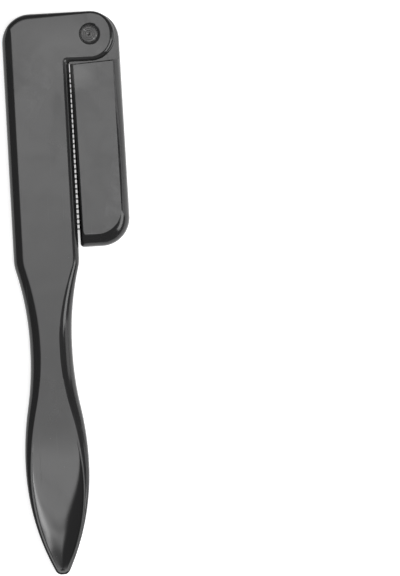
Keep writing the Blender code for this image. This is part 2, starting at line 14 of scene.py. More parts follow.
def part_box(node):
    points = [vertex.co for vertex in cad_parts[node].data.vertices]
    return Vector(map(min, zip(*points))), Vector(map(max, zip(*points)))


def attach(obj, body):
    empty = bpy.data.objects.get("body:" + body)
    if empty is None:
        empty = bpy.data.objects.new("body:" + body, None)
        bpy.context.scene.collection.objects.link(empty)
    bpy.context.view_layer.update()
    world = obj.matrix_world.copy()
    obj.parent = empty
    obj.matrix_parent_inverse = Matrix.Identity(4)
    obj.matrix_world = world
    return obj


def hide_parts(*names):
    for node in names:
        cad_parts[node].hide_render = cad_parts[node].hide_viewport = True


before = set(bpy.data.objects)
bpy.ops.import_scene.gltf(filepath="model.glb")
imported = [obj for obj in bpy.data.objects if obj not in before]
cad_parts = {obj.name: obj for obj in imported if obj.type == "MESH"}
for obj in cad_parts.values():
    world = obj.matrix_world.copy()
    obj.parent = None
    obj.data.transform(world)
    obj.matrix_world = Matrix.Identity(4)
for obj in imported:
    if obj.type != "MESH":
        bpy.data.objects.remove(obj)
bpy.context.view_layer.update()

# The handle is one injection moulding in gloss black plastic. It has a slotted head with a round
# hinge ear, a waist, and a leaf-shaped grip with a thumb dish. The two halves of its mould meet
# in a fine parting line round the middle of its thickness, and the rivet is fixed to its ear.

MM = 0.001
HANDLE_LENGTH = 120.0 * MM
THICKNESS = 6.0 * MM
HALF = THICKNESS / 2
HEAD_WIDTH = 14.0 * MM
HEAD_LENGTH = 53.6 * MM
HEAD_CORNER_RADIUS = 6.1 * MM
SHOULDER_RADIUS = 10.0 * MM
NECK_LENGTH = 17.4 * MM
WAIST_WIDTH = 9.05 * MM
WAIST_LENGTH = 1.0 * MM
GRIP_WIDTH = 13.6 * MM
GRIP_WIDEST_FROM_TIP = 23.5 * MM
TIP_RADIUS = 1.4 * MM
TIP_FLAT_WIDTH = 0.5 * MM
TIP_Y = -HANDLE_LENGTH
NECK_END_Y = -(HEAD_LENGTH + NECK_LENGTH)
WAIST_END_Y = NECK_END_Y - WAIST_LENGTH

# Widths of the rounded edge on the face, from the wall to the crease
TOP_EDGE = 0.82 * MM
EAR_SIDE_EDGE = 1.1 * MM
EAR_LOWER_EDGE = 0.92 * MM
EAR_TOP_EDGE = 0.38 * MM
EAR_TOP_FADE_POWER = 1.3
NOTCH_EDGE = 1.25 * MM
HEAD_OUTER_EDGE = 1.9 * MM
HEAD_SLOT_EDGE = 1.3 * MM
WAIST_OUTER_EDGE = 2.1 * MM
WAIST_SLOT_SIDE_EDGE = 2.7 * MM
SLOT_SIDE_NECK_POWER = 0.7
GRIP_EDGE = 0.4 * MM
SLOT_EDGE_RUN_OUT = 5.0 * MM
GRIP_EDGE_FROM_TIP = 5.0 * MM

# Thumb dish, with a rim and a small rounded lip round it
DISH_DEPTH = 0.85 * MM
DISH_START_FROM_TIP = 32.0 * MM
DISH_DEEPEST_FROM_TIP = 11.0 * MM
DISH_SPINE_END_FROM_TIP = 1.4 * MM
DISH_RUN_IN_POWER = 1.8
DISH_START_POWER = 2.0
DISH_WALL_TILT = math.radians(19.0)
WALL_RUN_IN = 15.0 * MM
DISH_END_POWER = 1.0
DISH_END_LENGTH = 9.0 * MM
RIM_WIDTH = 0.35 * MM
LIP_WIDTH = 0.12 * MM
LIP_DEPTH = 0.12 * MM
LIP_RUN_IN = 14.0 * MM
LIP_RUN_OUT = 6.0 * MM
LEAST_WALL_FALL = LIP_DEPTH / 2

EAR_RADIUS = 5.3 * MM
UNDER_EAR_Y = -2 * EAR_RADIUS
NOTCH_RADIUS = 0.5 * MM
NOTCH_FACE_RADIUS = 0.9 * MM
ARM_GAP = 0.2 * MM
PIVOT_FROM_ARM_EDGE = 4.7 * MM
PIVOT_DROP = 4.85 * MM
PIVOT_X = HEAD_WIDTH / 2 + ARM_GAP + PIVOT_FROM_ARM_EDGE
PIVOT_Y = -PIVOT_DROP

# The middle of the closed comb lies over the origin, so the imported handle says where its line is
HANDLE_PLACE = Vector((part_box("handle")[0].x + HEAD_WIDTH / 2, HANDLE_LENGTH / 2, HALF))
PIVOT_PLACE = HANDLE_PLACE + Vector((PIVOT_X, PIVOT_Y, 0.0))

# Section of the rounded edges, from the wall to the crease with the flat face
NOSE_TILT = math.radians(85.0)
BROAD_TILT = math.radians(50.0)
CREASE_TILT = math.radians(20.0)
NOSE_TO_BROAD_RADIUS = 0.5
LEAST_WALL = 0.3 * MM
NOSE_STEPS = 7
BROAD_STEPS = 7
CREASE_FILLET = 0.45 * MM
GRIP_FILLET = 0.22 * MM
TIGHT_FILLET = 0.01 * MM
TIGHT_FILLET_BLEND = 2.0
CREASE_FILLET_SHARE = 0.45
CREASE_STEPS = 6
SUPPORT_RING = 0.05 * MM
FILLET_FADE = 10.0 * MM
PARTING_LINE_HALF = 0.09 * MM
PARTING_LINE_STAND = 0.02 * MM
PARTING_LINE_CREST = 0.4

LONGEST_FACET = 0.7 * MM
WIDEST_TURN = 5.0
DISH_COLUMNS = 22
LIP_STEPS = 6
ROUND_SIDES = 128
MOULDED_SHARP_ANGLE = 30.0


def ease(value):
    """A smooth step from 0 to 1."""
    value = min(max(value, 0.0), 1.0)
    return value * value * (3 - 2 * value)


def between(first, last, share):
    return first + (last - first) * share


def arc(centre_x, centre_y, radius, start, end):
    """Stations (x, y, inward x, inward y) on an arc that an anticlockwise outline runs along."""
    side = -1.0 if end > start else 1.0
    sweep = math.radians(abs(end - start))
    steps = max(math.ceil(radius * sweep / LONGEST_FACET),
                math.ceil(abs(end - start) / WIDEST_TURN))
    stations = []
    for step in range(steps + 1):
        angle = math.radians(start + (end - start) * step / steps)
        across = math.cos(angle)
        up = math.sin(angle)
        x = centre_x + radius * across
        y = centre_y + radius * up
        stations.append((x, y, side * across, side * up))
    return stations


def rounded_edge(fillet, broad_tilt=BROAD_TILT, crease_tilt=CREASE_TILT):
    """The edge's section as (inset, rise) from the wall (0, 0) to the crease (1, 1), the ratio of
    its rise to its inset, and the fillet at its crease."""
    section = [(0.0, 0.0)]
    nose = (NOSE_TO_BROAD_RADIUS, NOSE_TILT, broad_tilt, NOSE_STEPS)
    broad = (1.0, broad_tilt, crease_tilt, BROAD_STEPS)
    for radius, start, end, steps in (nose, broad):
        inset, rise = section[-1]
        for step in range(1, steps + 1):
            tilt = start + (end - start) * step / steps
            section.append((inset + radius * (math.sin(start) - math.sin(tilt)),
                            rise + radius * (math.cos(tilt) - math.cos(start))))
    full_inset, full_rise = section[-1]
    scaled = [(inset / full_inset, rise / full_rise) for inset, rise in section]
    return scaled, full_rise / full_inset, fillet


def edge_rings(bm, outer, face, sections):
    """Rings of vertices round the moulding's edge, from back face to front face, with a small
    fillet at each crease and the parting line's low ridge at mid-thickness. Where a fillet is
    shorter than the usual one, the rows on both sides of it move in and keep the crease crisp."""
    rings = []
    for wall_point, face_point, (section, steepness, longest_fillet) in zip(outer, face, sections):
        softness = min(longest_fillet / CREASE_FILLET, 1.0)
        before_crease = [1 - (1 - part) * softness for part in section[-2]]
        inward = Vector(face_point) - Vector(wall_point)
        width = inward.length
        unit = inward / width
        drop = min(width * steepness, HALF - LEAST_WALL)
        foot = HALF - drop
        fillet = min(longest_fillet / width, CREASE_FILLET_SHARE)
        path = [(inset * width, foot + rise * drop) for inset, rise in section[:-2]]
        for step in range(CREASE_STEPS + 1):
            share = step / CREASE_STEPS
            inset = ((1 - share) ** 2 * before_crease[0] + 2 * share * (1 - share)
                     + share ** 2 * (1 + fillet))
            rise = (1 - share) ** 2 * before_crease[1] + 2 * share * (1 - share) + share ** 2
            path.append((inset * width, foot + rise * drop))
        path.append(((1 + fillet) * width + SUPPORT_RING * softness, HALF))
        ridge = min(PARTING_LINE_HALF, foot / 2)
        wall = [(0.0, ridge), (-PARTING_LINE_STAND, ridge * PARTING_LINE_CREST)]
        front = [(inset, height) for inset, height in wall[::-1] + path]
        spots = [(inset, -height) for inset, height in reversed(front)] + front
        rings.append([bm.verts.new((*(Vector(wall_point) + unit * inset), height))
                      for inset, height in spots])
    for index, ring in enumerate(rings):
        after = rings[(index + 1) % len(rings)]
        for low in range(len(ring) - 1):
            bm.faces.new([ring[low], after[low], after[low + 1], ring[low + 1]])
    return rings


def handle_side():
    """Right-hand side of the handle from the middle of the tip up to the straight side of the head,
    and how many of its stations belong to the dished grip."""
    half_grip = GRIP_WIDTH / 2
    half_waist = WAIST_WIDTH / 2
    half_head = HEAD_WIDTH / 2
    widest_y = TIP_Y + GRIP_WIDEST_FROM_TIP
    tip_y = TIP_Y + TIP_RADIUS

    run = GRIP_WIDEST_FROM_TIP
    tip_x = TIP_FLAT_WIDTH / 2
    side = half_grip - tip_x
    flank_radius = (run ** 2 + side ** 2 - 2 * run * TIP_RADIUS) / (2 * (side - TIP_RADIUS))
    flank_x = half_grip - flank_radius
    flank_angle = math.degrees(math.atan2(tip_y - widest_y, tip_x - flank_x))
    stations = [(0.0, TIP_Y, 0.0, 1.0)]
    stations += arc(tip_x, tip_y, TIP_RADIUS, -90.0, flank_angle)
    stations += arc(flank_x, widest_y, flank_radius, flank_angle, 0.0)[1:]

    rise = half_grip - half_waist
    run = WAIST_END_Y - widest_y
    sweep_radius = (run ** 2 + rise ** 2) / (4 * rise)
    sweep_angle = math.degrees(math.asin(run / (2 * sweep_radius)))
    stations += arc(half_grip - sweep_radius, widest_y, sweep_radius, 0.0, sweep_angle)[1:]
    grip_count = len(stations)
    waist_x = half_waist + sweep_radius
    stations += arc(waist_x, WAIST_END_Y, sweep_radius, 180.0 + sweep_angle, 180.0)[1:]

    rise = half_head - half_waist
    neck_radius = (NECK_LENGTH ** 2 + rise ** 2) / (2 * rise)
    neck_x = half_waist + neck_radius
    shoulder_x = half_head - SHOULDER_RADIUS
    across = neck_x - shoulder_x
    up = math.sqrt((neck_radius + SHOULDER_RADIUS) ** 2 - across ** 2)
    shoulder_angle = math.degrees(math.atan2(up, across))
    stations += arc(neck_x, NECK_END_Y, neck_radius, 180.0, 180.0 - shoulder_angle)
    stations += arc(shoulder_x, NECK_END_Y + up, SHOULDER_RADIUS, -shoulder_angle, 0.0)[1:]
    return stations, grip_count


def side_edge_width(y, head_edge, waist_edge, neck_power=1.0):
    """Width of the rounded edge along one side: from head to waist, where a power below 1 widens
    it early in the neck, then fading to the grip."""
    neck = ease((y + HEAD_LENGTH) / -NECK_LENGTH) ** neck_power
    grip = ease((y - WAIST_END_Y) / (TIP_Y + GRIP_EDGE_FROM_TIP - WAIST_END_Y))
    return head_edge + (waist_edge - head_edge) * neck + (GRIP_EDGE - waist_edge) * grip


def corner_edge_width(inward_x):
    """Edge round the head's free corner, where the side's straight crease meets the top's."""
    straight_crease = HEAD_CORNER_RADIUS
    if inward_x > 0.0:
        straight_crease = (HEAD_CORNER_RADIUS - HEAD_OUTER_EDGE) / inward_x
    return max(TOP_EDGE, HEAD_CORNER_RADIUS - straight_crease)


def edge_point(station, width):
    """The wall point and the crease point of a rounded edge at one station."""
    x, y, inward_x, inward_y = station
    return (x, y), (x + inward_x * width, y + inward_y * width)


def straight_edge(start, end, inward, first_width, last_width):
    """Edge points between two places, both left out, while the width runs from one to the other."""
    run = Vector(end) - Vector(start)
    steps = math.ceil(run.length / (2 * LONGEST_FACET))
    points = []
    for step in range(1, steps):
        spot = Vector(start) + run * step / steps
        width = between(first_width, last_width, step / steps)
        points.append(edge_point((spot.x, spot.y, *inward), width))
    return points


def ear_edge_width(inward_y):
    """Width of the rounded edge round the ear, from its underside over its side to its top."""
    if inward_y > 0.0:
        return between(EAR_SIDE_EDGE, EAR_LOWER_EDGE, inward_y ** 2)
    return between(EAR_SIDE_EDGE, EAR_TOP_EDGE, abs(inward_y) ** EAR_TOP_FADE_POWER)


def notch_points():
    """Edge points of the notch between head and ear. Wall and crease each turn on an arc of
    their own, so the rounded edge is widest on the diagonal."""
    half_head = HEAD_WIDTH / 2
    wall = arc(half_head + NOTCH_RADIUS, UNDER_EAR_Y - NOTCH_RADIUS, NOTCH_RADIUS, 180.0, 90.0)
    crease_x = half_head - NOTCH_EDGE + NOTCH_FACE_RADIUS
    crease_y = UNDER_EAR_Y + EAR_LOWER_EDGE - NOTCH_FACE_RADIUS
    crease = arc(crease_x, crease_y, NOTCH_FACE_RADIUS, 180.0, 90.0)
    return [(outer[:2], inner[:2]) for outer, inner in zip(wall, crease)]


def head_corner():
    """Stations round the head's free corner, with one of them on the mitre of its edges."""
    centre_x = HEAD_CORNER_RADIUS - HEAD_WIDTH / 2
    centre_y = -HEAD_CORNER_RADIUS
    straight_crease = HEAD_CORNER_RADIUS - HEAD_OUTER_EDGE
    turn = math.degrees(math.acos(straight_crease / (HEAD_CORNER_RADIUS - TOP_EDGE)))
    corner = arc(centre_x, centre_y, HEAD_CORNER_RADIUS, 90.0, 180.0 - turn)
    corner += arc(centre_x, centre_y, HEAD_CORNER_RADIUS, 180.0 - turn, 180.0)[1:]
    return corner


def handle_outlines():
    """Outer outline and crease outline of the handle, and the number of stations of the grip."""
    side, grip_count = handle_side()
    half_head = HEAD_WIDTH / 2
    points = []
    for station in side:
        width = side_edge_width(station[1], HEAD_SLOT_EDGE, WAIST_SLOT_SIDE_EDGE,
                                SLOT_SIDE_NECK_POWER)
        points.append(edge_point(station, width))

    side_end_y = side[-1][1]
    notch_y = UNDER_EAR_Y - NOTCH_RADIUS
    run_out_y = notch_y - SLOT_EDGE_RUN_OUT
    points += straight_edge((half_head, side_end_y), (half_head, run_out_y), (-1.0, 0.0),
                            HEAD_SLOT_EDGE, HEAD_SLOT_EDGE)
    points.append(edge_point((half_head, run_out_y, -1.0, 0.0), HEAD_SLOT_EDGE))
    points += straight_edge((half_head, run_out_y), (half_head, notch_y), (-1.0, 0.0),
                            HEAD_SLOT_EDGE, NOTCH_EDGE)
    points += notch_points()
    points += straight_edge((half_head + NOTCH_RADIUS, UNDER_EAR_Y), (PIVOT_X, UNDER_EAR_Y),
                            (0.0, 1.0), EAR_LOWER_EDGE, EAR_LOWER_EDGE)
    for station in arc(PIVOT_X, -EAR_RADIUS, EAR_RADIUS, -90.0, 90.0):
        points.append(edge_point(station, ear_edge_width(station[3])))

    corner_x = HEAD_CORNER_RADIUS - half_head
    points += straight_edge((PIVOT_X, 0.0), (corner_x, 0.0), (0.0, -1.0), EAR_TOP_EDGE, TOP_EDGE)
    for station in head_corner():
        points.append(edge_point(station, corner_edge_width(station[2])))
    points += straight_edge((-half_head, -HEAD_CORNER_RADIUS), (-half_head, side_end_y),
                            (1.0, 0.0), HEAD_OUTER_EDGE, HEAD_OUTER_EDGE)
    for x, y, inward_x, inward_y in reversed(side[1:]):
        width = side_edge_width(y, HEAD_OUTER_EDGE, WAIST_OUTER_EDGE)
        points.append(edge_point((-x, y, -inward_x, inward_y), width))
    outer = [wall for wall, _ in points]
    face = [crease for _, crease in points]
    return outer, face, grip_count


def spine_depth(y):
    """Depth of the thumb dish along the handle's centre line."""
    from_tip = y - TIP_Y
    if from_tip > DISH_DEEPEST_FROM_TIP:
        run_in = DISH_START_FROM_TIP - DISH_DEEPEST_FROM_TIP
        return DISH_DEPTH * ease((DISH_START_FROM_TIP - from_tip) / run_in) ** DISH_RUN_IN_POWER
    rim = GRIP_EDGE + RIM_WIDTH + LIP_WIDTH
    run_out = (DISH_DEEPEST_FROM_TIP - from_tip) / (DISH_DEEPEST_FROM_TIP - rim)
    return DISH_DEPTH * (1 - run_out ** 2)


def add_face(bm, corners):
    """A face through its different corners, which drops a corner that is there twice."""
    different = list(dict.fromkeys(corners))
    if len(different) > 2:
        bm.faces.new(different)


def dish_column(bm, start_vertex, edge, spine_vertex):
    """Vertices from the face's edge over the rim and the rounded lip down to the dish's spine."""
    spine = spine_vertex.co.xy
    length = (spine - edge).length
    along = (spine - edge) / length
    deepest = HALF - spine_vertex.co.z
    from_tip = edge.y - TIP_Y
    lip_run_in = ease((DISH_START_FROM_TIP - from_tip) / LIP_RUN_IN)
    lip = min(LIP_DEPTH * lip_run_in * ease(from_tip / LIP_RUN_OUT), deepest)
    rounding = ease((spine.y - TIP_Y - DISH_SPINE_END_FROM_TIP) / DISH_END_LENGTH)
    steepening = ease((DISH_START_FROM_TIP - from_tip) / WALL_RUN_IN)
    fall = math.tan(DISH_WALL_TILT * steepening) * (length - RIM_WIDTH - LIP_WIDTH)
    power = max(fall / max(deepest - lip, LEAST_WALL_FALL), DISH_START_POWER)
    power = between(DISH_END_POWER, power, rounding)
    column = [start_vertex]
    for step in range(LIP_STEPS):
        share = step / LIP_STEPS
        spot = edge + along * (RIM_WIDTH + LIP_WIDTH * share)
        column.append(bm.verts.new((spot.x, spot.y, HALF - lip * ease(share))))
    foot_at = RIM_WIDTH + LIP_WIDTH
    for step in range(DISH_COLUMNS):
        share = step / DISH_COLUMNS
        spot = edge + along * (foot_at + (length - foot_at) * share)
        depth = lip + (deepest - lip) * (1 - (1 - share) ** power)
        column.append(bm.verts.new((spot.x, spot.y, HALF - depth)))
    column.append(spine_vertex)
    return column


def dished_front(bm, rings, face, grip_count):
    """Front face of the handle: flat over head and waist, with the thumb dish in the grip."""
    start = [ring[-1] for ring in rings]
    edge = [Vector(point) for point in face]
    spine_end = TIP_Y + DISH_SPINE_END_FROM_TIP
    end_vertex = bm.verts.new((0.0, spine_end, HALF - spine_depth(spine_end)))
    right_columns = [dish_column(bm, start[0], edge[0], end_vertex)]
    left_columns = [right_columns[0]]
    for index in range(1, grip_count):
        y = (edge[index].y + edge[-index].y) / 2
        spine_vertex = end_vertex
        if y > spine_end:
            spine_vertex = bm.verts.new((0.0, y, HALF - spine_depth(y)))
        right_columns.append(dish_column(bm, start[index], edge[index], spine_vertex))
        left_columns.append(dish_column(bm, start[-index], edge[-index], spine_vertex))
    for columns in (right_columns, left_columns):
        for lower, upper in zip(columns, columns[1:]):
            for place in range(len(lower) - 1):
                add_face(bm, [lower[place], upper[place], upper[place + 1], lower[place + 1]])
    last_row = right_columns[-1] + left_columns[-1][-2::-1]
    bm.faces.new(start[grip_count:len(start) - grip_count + 1] + last_row[::-1])


def finish_mesh(name, bm, place=Matrix.Identity(4)):
    bmesh.ops.recalc_face_normals(bm, faces=bm.faces)
    bm.transform(place)
    mesh = bpy.data.meshes.new(name)
    bm.to_mesh(mesh)
    bm.free()
    return mesh


def add_object(name, data):
    new_object = bpy.data.objects.new(name, data)
    bpy.context.scene.collection.objects.link(new_object)
    return new_object


def turned_mesh(name, profile, sides, place):
    """A solid turned about Z from (radius, height, shift) places that start and end on the axis."""
    bm = bmesh.new()
    rings = []
    for radius, height, shift in profile:
        if radius == 0.0:
            rings.append([bm.verts.new((shift, 0.0, height))] * sides)
            continue
        ring = []
        for side in range(sides):
            angle = 2 * math.pi * side / sides
            spot = (radius * math.cos(angle) + shift, radius * math.sin(angle), height)
            ring.append(bm.verts.new(spot))
        rings.append(ring)
    for lower, upper in zip(rings, rings[1:]):
        for side in range(sides):
            after = (side + 1) % sides
            add_face(bm, [lower[side], lower[after], upper[after], upper[side]])
    return finish_mesh(name, bm, place)


def mirrored(profile):
    """The rows of a turned profile turned over, from its far end to mid-thickness."""
    return [(radius, -height, shift) for radius, height, shift in reversed(profile)]


def add_prism(bm, near_points, far_points):
    """A closed prism between two outlines that have the same number of points."""
    near_end = [bm.verts.new(point) for point in near_points]
    far_end = [bm.verts.new(point) for point in far_points]
    bm.faces.new(near_end)
    bm.faces.new(far_end)
    for index in range(len(near_end)):
        after = (index + 1) % len(near_end)
        bm.faces.new([near_end[index], near_end[after], far_end[after], far_end[index]])


def shade_curves(piece, sharp_angle):
    """Smooth shading, with a sharp edge wherever two faces turn by more than the angle."""
    piece.data.shade_smooth()
    piece.data.set_sharp_from_angle(angle=math.radians(sharp_angle))


def cut_and_smooth(piece, cutter_meshes):
    """Cuts the cutters out of a piece for good, then shades curves smooth and flats flat."""
    cutters = [add_object(mesh.name, mesh) for mesh in cutter_meshes]
    for cutter in cutters:
        modifier = piece.modifiers.new(cutter.name, "BOOLEAN")
        modifier.operation = "DIFFERENCE"
        modifier.solver = "EXACT"
        modifier.object = cutter
    graph = bpy.context.evaluated_depsgraph_get()
    rough_mesh = piece.data
    piece.data = bpy.data.meshes.new_from_object(piece.evaluated_get(graph))
    piece.data.name = piece.name
    piece.modifiers.clear()
    bpy.data.meshes.remove(rough_mesh)
    for cutter in cutters:
        bpy.data.objects.remove(cutter)
    shade_curves(piece, MOULDED_SHARP_ANGLE)
    weighted = piece.modifiers.new("flat_faces_stay_flat", "WEIGHTED_NORMAL")
    weighted.keep_sharp = True


# Slot for the tongue and the needles, and the seat of the rivet
ARM_WIDTH = 10.8 * MM
ARM_LEFT = -PIVOT_FROM_ARM_EDGE
ARM_RIGHT = ARM_LEFT + ARM_WIDTH
ARM_PANEL_LENGTH = 39.4 * MM
SHOULDER_CLEARANCE = 0.3 * MM
SHOULDER_Y = UNDER_EAR_Y - PIVOT_Y - SHOULDER_CLEARANCE
ARM_END_Y = SHOULDER_Y - ARM_PANEL_LENGTH
NEEDLE_DIAMETER = 0.4 * MM
NEEDLE_PITCH = 1.077 * MM
NEEDLE_REACH = 7.0 * MM
NEEDLE_COUNT = sum(name.startswith("needle_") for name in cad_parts)
FIRST_NEEDLE_FROM_SHOULDER = 2.1 * MM
FIRST_NEEDLE_Y = SHOULDER_Y - FIRST_NEEDLE_FROM_SHOULDER
LAST_NEEDLE_Y = FIRST_NEEDLE_Y - (NEEDLE_COUNT - 1) * NEEDLE_PITCH
SWING_GAP = 0.4 * MM
NEEDLE_TIP_GAP = 0.9 * MM
NEEDLE_END_GAP = 0.8 * MM
CUT_MARGIN = 1.0 * MM
SLOT_THICKNESS = 2.4 * MM
RIVET_RADIUS = 1.4 * MM
RIVET_HEAD_RADIUS = 1.88 * MM
RIVET_SEAT_RADIUS = 2.0 * MM
SEAT_STEP_RISE = 0.52 * MM
RIVET_HEAD_THICKNESS = 0.7 * MM
RIVET_HEAD_OFFSET = 0.28 * MM
RIVET_RECESS = 0.1 * MM
COUNTERBORE_GAP = 0.07 * MM
FIT_GAP = 0.05 * MM

tongue_x = PIVOT_X - ARM_RIGHT - SWING_GAP
slot_floor_x = PIVOT_X + ARM_LEFT - NEEDLE_REACH - NEEDLE_TIP_GAP
pocket_top = PIVOT_Y + FIRST_NEEDLE_Y + NEEDLE_DIAMETER / 2 + NEEDLE_END_GAP
tip_swing = math.hypot(ARM_LEFT - NEEDLE_REACH, LAST_NEEDLE_Y)
lowest_tip = PIVOT_Y - math.sqrt(tip_swing ** 2 - (ARM_LEFT - ARM_GAP) ** 2)
pocket_end = lowest_tip - NEEDLE_DIAMETER / 2 - NEEDLE_END_GAP
outside_x = PIVOT_X + EAR_RADIUS + CUT_MARGIN
slot = [(tongue_x, CUT_MARGIN), (tongue_x, pocket_top), (slot_floor_x, pocket_top),
        (slot_floor_x, pocket_end), (outside_x, pocket_end), (outside_x, CUT_MARGIN)]

# The front head's seat is narrow at its floor and opens in a slope to a round mouth
bore = RIVET_RADIUS + FIT_GAP
counterbore = RIVET_SEAT_RADIUS + RIVET_HEAD_OFFSET + COUNTERBORE_GAP
seat_floor = HALF - RIVET_RECESS - RIVET_HEAD_THICKNESS - FIT_GAP
above_face = HALF + CUT_MARGIN
seat_mouth = [(counterbore, HALF, 0.0), (counterbore, above_face, 0.0), (0.0, above_face, 0.0)]
back_seat = [(bore, seat_floor, 0.0), (counterbore, seat_floor, 0.0)] + seat_mouth
front_floor = RIVET_HEAD_RADIUS + COUNTERBORE_GAP
seat_step = seat_floor + SEAT_STEP_RISE
front_seat = [(bore, seat_floor, 0.0), (front_floor, seat_floor, -RIVET_HEAD_OFFSET),
              (front_floor, seat_step, -RIVET_HEAD_OFFSET)] + seat_mouth
seat_profile = mirrored(back_seat) + front_seat

bm = bmesh.new()
outer, face, grip_count = handle_outlines()
sections = []
for wall_point, face_point in zip(outer, face):
    inward = (Vector(face_point) - Vector(wall_point)).normalized()
    grip = ease((WAIST_END_Y - wall_point[1]) / FILLET_FADE)
    fillet = between(CREASE_FILLET, GRIP_FILLET, grip)
    tight = ease(-TIGHT_FILLET_BLEND * inward.x)
    sections.append(rounded_edge(between(fillet, TIGHT_FILLET, tight)))
rings = edge_rings(bm, outer, face, sections)
bm.faces.new([ring[0] for ring in rings])
dished_front(bm, rings, face, grip_count)
handle_at = Matrix.Translation(HANDLE_PLACE)
handle = add_object("handle_moulding", finish_mesh("handle_moulding", bm, handle_at))
bm = bmesh.new()
add_prism(bm, [(x, y, -SLOT_THICKNESS / 2) for x, y in slot],
          [(x, y, SLOT_THICKNESS / 2) for x, y in slot])
slot_cutter = finish_mesh("head_slot", bm, handle_at)
pivot_at = Matrix.Translation(PIVOT_PLACE)
seat_cutter = turned_mesh("rivet_seat", seat_profile, ROUND_SIDES, pivot_at)
cut_and_smooth(handle, [slot_cutter, seat_cutter])


def start_group(name, inputs, outputs):
    """A shader node group that takes a place and some numbers, and gives other numbers."""
    group = bpy.data.node_groups.new(name, "ShaderNodeTree")
    sockets = group.interface
    sockets.new_socket(name="Place", in_out="INPUT", socket_type="NodeSocketVector")
    for label, value in inputs.items():
        socket = sockets.new_socket(name=label, in_out="INPUT", socket_type="NodeSocketFloat")
        socket.default_value = value
    for label in outputs:
        sockets.new_socket(name=label, in_out="OUTPUT", socket_type="NodeSocketFloat")
    given = group.nodes.new("NodeGroupInput").outputs
    return group, given, group.nodes.new("NodeGroupOutput").inputs


def add_node(tree, kind, settings, **values):
    """A node with its settings, and its inputs set by value or linked to another's output."""
    node = tree.nodes.new(kind)
    for label, value in settings.items():
        setattr(node, label, value)
    for label, value in values.items():
        socket = node.inputs[int(label[1:]) if label[0] == "_" else label.replace("_", " ")]
        if isinstance(value, bpy.types.NodeSocket):
            tree.links.new(value, socket)
        else:
            socket.default_value = value
    return node


def ramp(tree, factor, low, high, from_value, to_value):
    """Takes a value from one range to another, held at both ends."""
    node = add_node(tree, "ShaderNodeMapRange", {"clamp": True}, Value=factor, From_Min=low,
                    From_Max=high, To_Min=from_value, To_Max=to_value)
    return node.outputs["Result"]


def maths(tree, operation, first, second):
    node = add_node(tree, "ShaderNodeMath", {"operation": operation}, _0=first, _1=second)
    return node.outputs[0]


def noise(tree, place, scale, **values):
    """Cloudy noise from 0 to 1."""
    return add_node(tree, "ShaderNodeTexNoise", {}, Vector=place, Scale=scale, **values).outputs[0]


def mixed(tree, factor, first, second):
    """Runs from the first colour at 0 to the second at 1."""
    node = add_node(tree, "ShaderNodeMix", {"data_type": "RGBA"}, _0=factor, _6=first, _7=second)
    return node.outputs[2]


def start_material(name):
    """A node material with its tree, its shader and the object's own coordinates."""
    material = bpy.data.materials.new(name)
    material.use_nodes = True
    tree = material.node_tree
    place = tree.nodes.new("ShaderNodeTexCoord").outputs["Object"]
    return material, tree, tree.nodes["Principled BSDF"], place


# Slow swells left by the melt as it filled the mould, with a much finer skin on them
swells, given, result = start_group(
    "melt_flow", {"Swell Scale": 90.0, "Skin Scale": 2600.0, "Skin Share": 0.08}, ["Height"])
swell = noise(swells, given["Place"], given["Swell Scale"],
              Detail=1.5, Roughness=0.4, Distortion=0.6)
skin = noise(swells, given["Place"], given["Skin Scale"], Detail=3.0, Roughness=0.6)
fine = maths(swells, "MULTIPLY", skin, given["Skin Share"])
swells.links.new(maths(swells, "ADD", swell, fine), result["Height"])

# Marks of use: hairline scratches in three directions, smudges left by fingers, and specks of dust
marks, given, result = start_group(
    "handling_marks", {"Scratch Scale": 1200.0, "Smudge Scale": 130.0, "Dust Scale": 1500.0},
    ["Scratches", "Smudges", "Dust"])
SCRATCH_TURNS = (0.35, 1.25, 2.5)
SCRATCH_STRETCH = (1.0, 0.025, 1.0)
hairs = 0.0
for turn in SCRATCH_TURNS:
    turned = add_node(marks, "ShaderNodeMapping", {}, Vector=given["Place"],
                      Rotation=(0.0, 0.0, turn), Scale=SCRATCH_STRETCH)
    hair = noise(marks, turned.outputs[0], given["Scratch Scale"], Detail=2.0, Roughness=0.5)
    hairs = maths(marks, "MAXIMUM", hairs, ramp(marks, hair, 0.70, 0.78, 0.0, 1.0))
marks.links.new(hairs, result["Scratches"])
smudge = noise(marks, given["Place"], given["Smudge Scale"],
               Detail=3.0, Roughness=0.55, Distortion=0.8)
marks.links.new(ramp(marks, smudge, 0.45, 0.7, 0.0, 1.0), result["Smudges"])
speck = add_node(marks, "ShaderNodeTexVoronoi", {}, Vector=given["Place"],
                 Scale=given["Dust Scale"])
chosen = add_node(marks, "ShaderNodeSeparateColor", {}, Color=speck.outputs["Color"])
near = ramp(marks, speck.outputs["Distance"], 0.05, 0.11, 1.0, 0.0)
rare = ramp(marks, chosen.outputs[0], 0.95, 0.97, 0.0, 1.0)
marks.links.new(maths(marks, "MULTIPLY", near, rare), result["Dust"])

# Edges that hands and pockets have rubbed
rubbed, given, result = start_group("rubbed_edges", {"Patch Scale": 400.0}, ["Rub"])
shape = rubbed.nodes.new("ShaderNodeNewGeometry")
patch = noise(rubbed, given["Place"], given["Patch Scale"], Detail=4.0, Roughness=0.6)
ridge = ramp(rubbed, shape.outputs["Pointiness"], 0.52, 0.6, 0.0, 1.0)
patchy = ramp(rubbed, patch, 0.4, 0.65, 0.0, 1.0)
rubbed.links.new(maths(rubbed, "MULTIPLY", ridge, patchy), result["Rub"])

